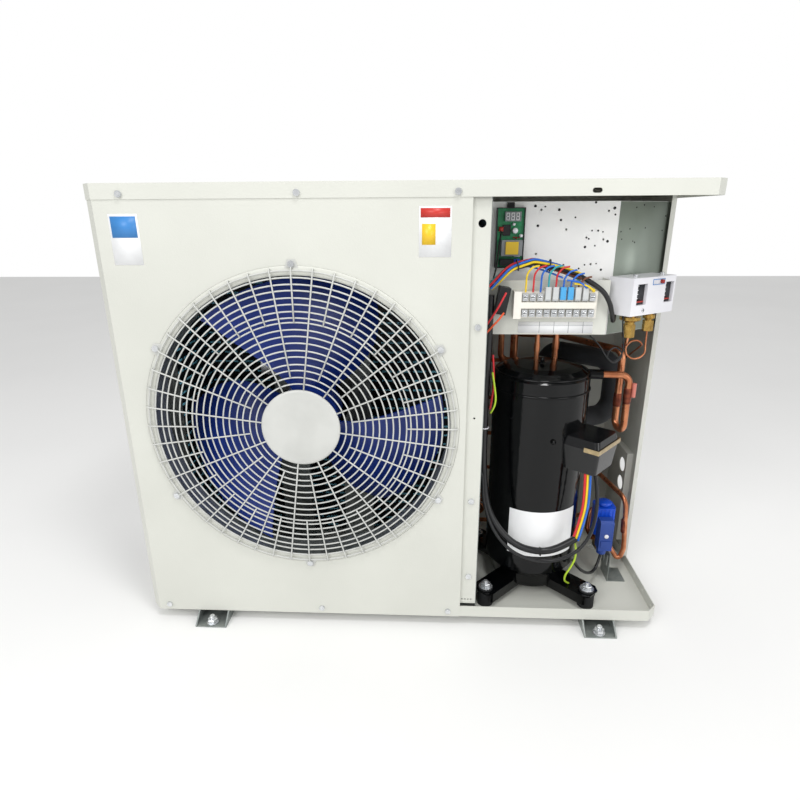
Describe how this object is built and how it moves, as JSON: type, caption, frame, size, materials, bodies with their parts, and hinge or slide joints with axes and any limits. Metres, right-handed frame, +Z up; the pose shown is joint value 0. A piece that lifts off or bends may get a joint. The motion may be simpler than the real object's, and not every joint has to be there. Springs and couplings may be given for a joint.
{
  "type": "refrigeration condensing unit",
  "caption": "Box-shaped air-cooled condensing unit: guarded axial fan on the left, open service bay with scroll compressor, piping and controls on the right, on two foot rails.",
  "frame": {"origin": "on the ground under the middle of the unit", "axes": "+X to the right seen from the front, +Y towards the back, +Z up"},
  "size_m": [0.95, 0.408, 0.778],
  "materials": {
    "casing_paint": "light warm grey powder coat, fine texture",
    "galvanised_steel": "galvanised sheet",
    "zinc_fasteners": "bright zinc plate",
    "guard_wire": "off-white coated wire",
    "aluminium_fins": "dark coated fins",
    "copper": "drawn copper tube",
    "brass_parts": "machined brass",
    "blue_fan_plastic": "navy blue moulded plastic",
    "black_enamel": "gloss black enamel",
    "black_rubber": "moulded rubber",
    "black_plastic": "moulded plastic",
    "foam_rubber": "closed-cell foam",
    "blue_coil_plastic": "blue moulded coil",
    "blue_connector_plastic": "dark blue moulding",
    "panel_white": "white coated plate",
    "terminal_plastic": "ivory moulding",
    "circuit_board": "green solder mask",
    "cable_pvc": "PVC sheath",
    "white_case": "white moulded case",
    "red_plastic": "red moulding",
    "sensor_sleeve": "pink heat-shrink"
  },
  "bodies": {
    "casing": {"base_pan": "casing_paint", "foot_rail_left": "galvanised_steel", "foot_rail_right": "galvanised_steel", "front_panel": "casing_paint", "left_side_panel": "casing_paint", "right_side_panel": "casing_paint", "rear_panel": "casing_paint", "top_cover": "casing_paint", "partition_panel": "galvanised_steel", "panel_screws": "zinc_fasteners", "fan_bellmouth": "galvanised_steel", "grille": "guard_wire", "coil_guard": "guard_wire", "condenser_fins": "aluminium_fins", "tube_plates": "galvanised_steel", "return_bends": "copper", "gas_header": "copper", "motor_bracket": "galvanised_steel", "fan_motor": "black_enamel", "compressor_shell": "black_enamel", "compressor_cap": "black_enamel", "compressor_base": "black_enamel", "compressor_grommets": "black_rubber", "compressor_bolts": "zinc_fasteners", "terminal_box_base": "black_plastic", "terminal_box_cover": "black_plastic", "terminal_box_strap": "zinc_fasteners", "discharge_pipe": "copper", "suction_pipe": "copper", "suction_insulation": "foam_rubber", "liquid_outlet_pipe": "copper", "liquid_inlet_pipe": "copper", "process_tubes": "copper", "solenoid_body": "brass_parts", "solenoid_coil": "blue_coil_plastic", "solenoid_connector": "blue_connector_plastic", "solenoid_bracket": "galvanised_steel", "solenoid_cable": "cable_pvc", "temperature_sensor": "sensor_sleeve", "electrical_panel": "panel_white", "terminal_plate": "casing_paint", "terminal_block": "terminal_plastic", "terminal_clamps": "zinc_fasteners", "board_tray": "black_plastic", "control_board": "circuit_board", "fan_capacitor": "black_plastic", "harness_bundle": "cable_pvc", "lead_sleeve": "cable_pvc", "compressor_leads": "cable_pvc", "pressure_case": "white_case", "pressure_fittings": "brass_parts", "pressure_capillaries": "copper"},
    "fan": {"fan_rotor": "blue_fan_plastic", "motor_shaft": "zinc_fasteners", "fan_nut": "zinc_fasteners"},
    "low_spindle": {"low_pressure_spindle": "zinc_fasteners"},
    "high_spindle": {"high_pressure_spindle": "zinc_fasteners"},
    "low_pointer": {"low_pressure_pointer": "red_plastic"},
    "high_pointer": {"high_pressure_pointer": "red_plastic"},
    "reset_button": {"reset_button": "red_plastic"}
  },
  "joints": [
    {"name": "fan_spin", "type": "hinge", "parent": "casing", "child": "fan", "pos_m": [-0.161, -0.106, 0.396], "axis": [0, -1, 0], "continuous": true},
    {"name": "low_set", "type": "hinge", "parent": "casing", "child": "low_spindle", "pos_m": [0.38622, -0.09693, 0.632], "axis": [0, 0, 1], "range_deg": [-360, 2520]},
    {"name": "low_scale", "type": "slide", "parent": "casing", "child": "low_pointer", "axis": [0, 0, 1], "range_m": [-0.00361, 0.02521]},
    {"name": "high_set", "type": "hinge", "parent": "casing", "child": "high_spindle", "pos_m": [0.44425, -0.05778, 0.632], "axis": [0, 0, 1], "range_deg": [-360, 2520]},
    {"name": "high_scale", "type": "slide", "parent": "casing", "child": "high_pointer", "axis": [0, 0, 1], "range_m": [-0.00361, 0.02521]},
    {"name": "reset_push", "type": "slide", "parent": "casing", "child": "reset_button", "axis": [-0.5592, 0.829, 0], "range_m": [0, 0.002], "stiffness_N_per_m": 200, "springref_m": -0.002}
  ],
  "couplings": [
    {"joint": "low_scale", "follows": "low_set", "m_per_rad": 0.00057296},
    {"joint": "high_scale", "follows": "high_set", "m_per_rad": 0.00057296}
  ]
}
